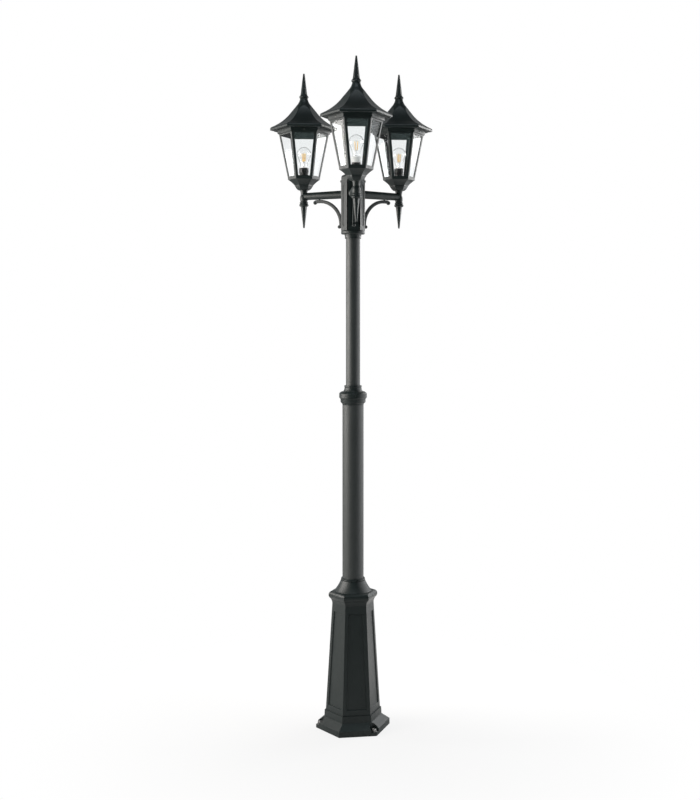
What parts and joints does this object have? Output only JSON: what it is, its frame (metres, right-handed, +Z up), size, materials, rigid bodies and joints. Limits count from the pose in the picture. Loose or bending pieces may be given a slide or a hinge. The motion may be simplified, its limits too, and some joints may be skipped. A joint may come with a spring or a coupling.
{
  "type": "triple head lamp post",
  "caption": "Garden lamp post with six-sided lanterns on scroll-braced arms round a hub, on a tapered tube with a six-sided cast pedestal.",
  "frame": {"origin": "post axis at the underside of the foot", "axes": "+Z up along the post, front arm along -Y"},
  "size_m": [0.7042, 0.6098, 2.7891],
  "materials": {
    "casting_paint": "satin",
    "tube_paint": "satin",
    "screw_steel": "satin",
    "nipple_steel": "satin",
    "terminal_plastic": "matte",
    "pane_glass": "polished",
    "seal_rubber": "matte",
    "holder_black": "satin",
    "ring_black": "satin",
    "ring_white": "satin",
    "cap_brass": "satin",
    "bulb_glass": "polished",
    "filament_amber": "satin"
  },
  "bodies": {
    "post": {"pedestal": "casting_paint", "pedestal_screws": "screw_steel", "bell_collar": "casting_paint", "lower_tube": "tube_paint", "collar": "casting_paint", "collar_screws": "screw_steel", "upper_tube": "tube_paint", "hub": "casting_paint", "hub_screws": "screw_steel", "hub_lid": "casting_paint", "terminal_block": "terminal_plastic", "lamp_nipples": "nipple_steel", "front_pendant": "casting_paint", "front_bowl": "casting_paint", "front_cage": "casting_paint", "front_panes": "pane_glass", "front_gasket": "seal_rubber", "front_lampholder": "holder_black", "front_holder_ring": "ring_white", "front_bulb_cap": "cap_brass", "front_bulb": "bulb_glass", "front_filament": "filament_amber", "front_arm": "casting_paint", "front_scroll": "casting_paint", "left_pendant": "casting_paint", "left_bowl": "casting_paint", "left_cage": "casting_paint", "left_panes": "pane_glass", "left_gasket": "seal_rubber", "left_lampholder": "holder_black", "left_holder_ring": "ring_black", "left_bulb_cap": "cap_brass", "left_bulb": "bulb_glass", "left_filament": "filament_amber", "left_arm": "casting_paint", "left_scroll": "casting_paint", "right_pendant": "casting_paint", "right_bowl": "casting_paint", "right_cage": "casting_paint", "right_panes": "pane_glass", "right_gasket": "seal_rubber", "right_lampholder": "holder_black", "right_holder_ring": "ring_black", "right_bulb_cap": "cap_brass", "right_bulb": "bulb_glass", "right_filament": "filament_amber", "right_arm": "casting_paint", "right_scroll": "casting_paint"},
    "front_lantern_top": {"front_roof": "casting_paint", "front_roof_screws": "screw_steel", "front_roof_cap": "casting_paint", "front_finial": "casting_paint"},
    "left_lantern_top": {"left_roof": "casting_paint", "left_roof_screws": "screw_steel", "left_roof_cap": "casting_paint", "left_finial": "casting_paint"},
    "right_lantern_top": {"right_roof": "casting_paint", "right_roof_screws": "screw_steel", "right_roof_cap": "casting_paint", "right_finial": "casting_paint"}
  },
  "joints": [
    {"name": "front_top_lift", "type": "slide", "parent": "post", "child": "front_lantern_top", "axis": [0, 0, 1], "range_m": [0, 0.15]},
    {"name": "left_top_lift", "type": "slide", "parent": "post", "child": "left_lantern_top", "axis": [0, 0, 1], "range_m": [0, 0.15]},
    {"name": "right_top_lift", "type": "slide", "parent": "post", "child": "right_lantern_top", "axis": [0, 0, 1], "range_m": [0, 0.15]}
  ]
}
